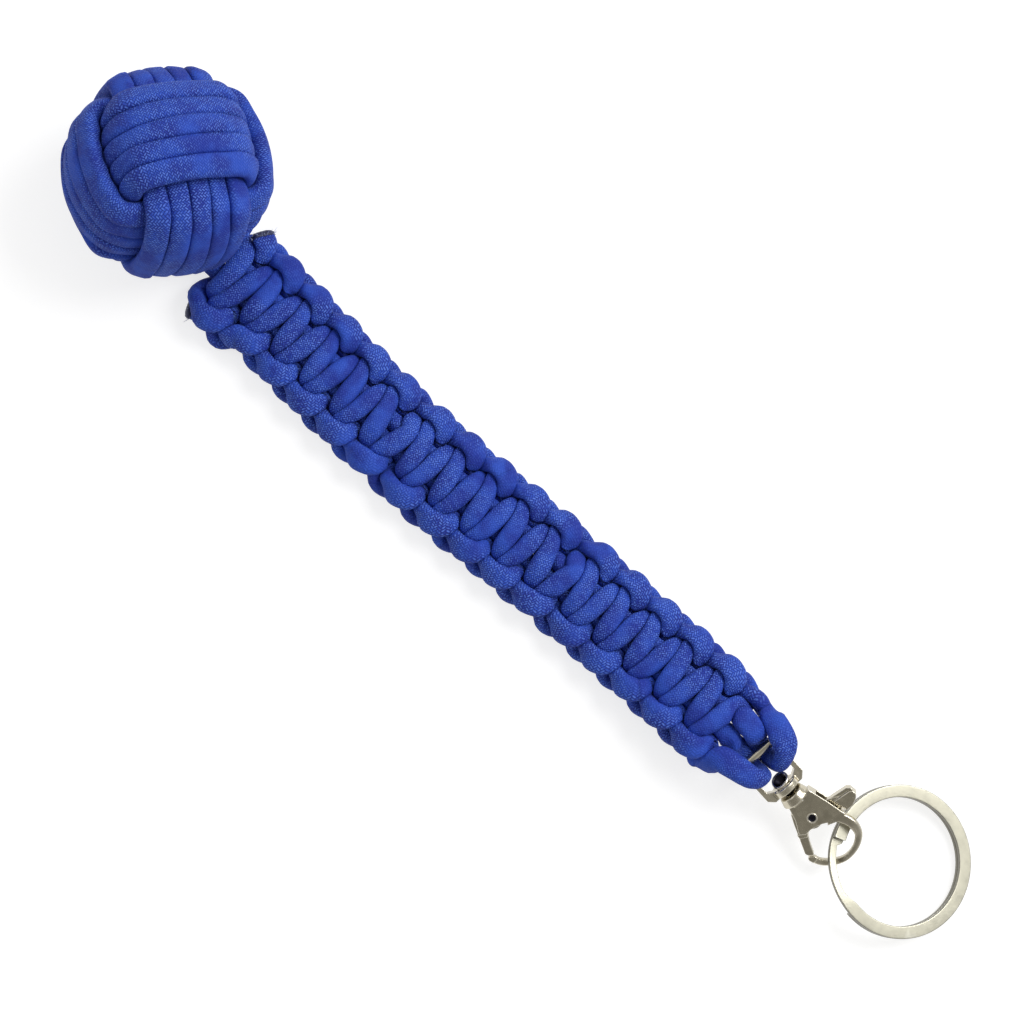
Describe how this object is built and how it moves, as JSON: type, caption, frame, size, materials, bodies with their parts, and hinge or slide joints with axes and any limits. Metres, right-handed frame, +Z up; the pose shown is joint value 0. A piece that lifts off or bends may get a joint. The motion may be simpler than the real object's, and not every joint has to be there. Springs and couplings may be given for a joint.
{
  "type": "monkey fist knot key fob",
  "caption": "Cord-wrapped steel ball on a flat cobra-woven cord strap, ending in a swivel snap hook and a split ring.",
  "frame": {"origin": "on the table below the middle of the fob's box", "axes": "+X along the strap from the ball to the split ring, +Z up from the table, +Y to the side that the fist's neck leans away from"},
  "size_m": [0.2438, 0.0425, 0.0427],
  "materials": {
    "cord": "braided nylon, matte royal blue",
    "melted_cord": "melted nylon, dark and smooth",
    "steel_core": "smooth bearing steel",
    "clasp_nickel": "nickel plate, satin with bright edges",
    "pin_nickel": "nickel plate, polished",
    "spring_steel": "drawn spring wire",
    "ring_nickel": "nickel plate, pale and bright"
  },
  "bodies": {
    "ball": {"fist_first_wraps": "cord", "fist_second_wraps": "cord", "fist_third_wraps": "cord", "neck_strand_left": "cord", "neck_strand_right": "cord", "steel_ball": "steel_core"},
    "strap_upper": {"melted_end_back": "melted_cord", "melted_end_front": "melted_cord", "upper_core_strand_left": "cord", "upper_core_strand_right": "cord", "upper_working_cord_back": "cord", "upper_working_cord_front": "cord"},
    "strap_middle": {"middle_core_strand_left": "cord", "middle_core_strand_right": "cord", "middle_working_cord_back": "cord", "middle_working_cord_front": "cord"},
    "strap_lower": {"end_loop_left": "cord", "end_loop_right": "cord", "lower_core_strand_left": "cord", "lower_core_strand_right": "cord", "lower_working_cord_back": "cord", "lower_working_cord_front": "cord"},
    "bail": {"swivel_bail": "clasp_nickel"},
    "hook": {"gate_pivot_pin": "pin_nickel", "gate_spring": "spring_steel", "hook_body": "clasp_nickel", "swivel_rivet": "clasp_nickel"},
    "gate": {"gate_lever": "clasp_nickel"},
    "ring": {"split_ring": "ring_nickel"}
  },
  "joints": [
    {"name": "neck_bend", "type": "hinge", "parent": "ball", "child": "strap_upper", "pos_m": [-0.0827, -0.0031, 0.00435], "axis": [0, 1, 0], "range_deg": [-12, 30]},
    {"name": "flex_upper", "type": "hinge", "parent": "strap_upper", "child": "strap_middle", "pos_m": [-0.03225, -0.00497, 0.00435], "axis": [0, 1, 0], "range_deg": [-12, 12]},
    {"name": "flex_lower", "type": "hinge", "parent": "strap_middle", "child": "strap_lower", "pos_m": [0.01255, -0.00262, 0.00435], "axis": [0, 1, 0], "range_deg": [-12, 12]},
    {"name": "bail_swing", "type": "hinge", "parent": "strap_lower", "child": "bail", "pos_m": [0.0682, -0.00233, 0.00945], "axis": [0.0755, 0.9875, 0.1384], "range_deg": [-35, 35]},
    {"name": "swivel_turn", "type": "hinge", "parent": "bail", "child": "hook", "pos_m": [0.0682, -0.00233, 0.00945], "axis": [0.9923, -0.0607, -0.108], "continuous": true},
    {"name": "gate_open", "type": "hinge", "parent": "hook", "child": "gate", "pos_m": [0.08538, -0.00329, 0.00762], "axis": [0.0769, -0.3816, 0.9211], "range_deg": [0, 20], "stiffness_Nm_per_rad": 0.01, "springref_deg": -11.46},
    {"name": "ring_turn", "type": "hinge", "parent": "hook", "child": "ring", "pos_m": [0.10591, 0.00267, 0.0045], "axis": [0.1465, 0.1563, 0.9768], "continuous": true}
  ]
}
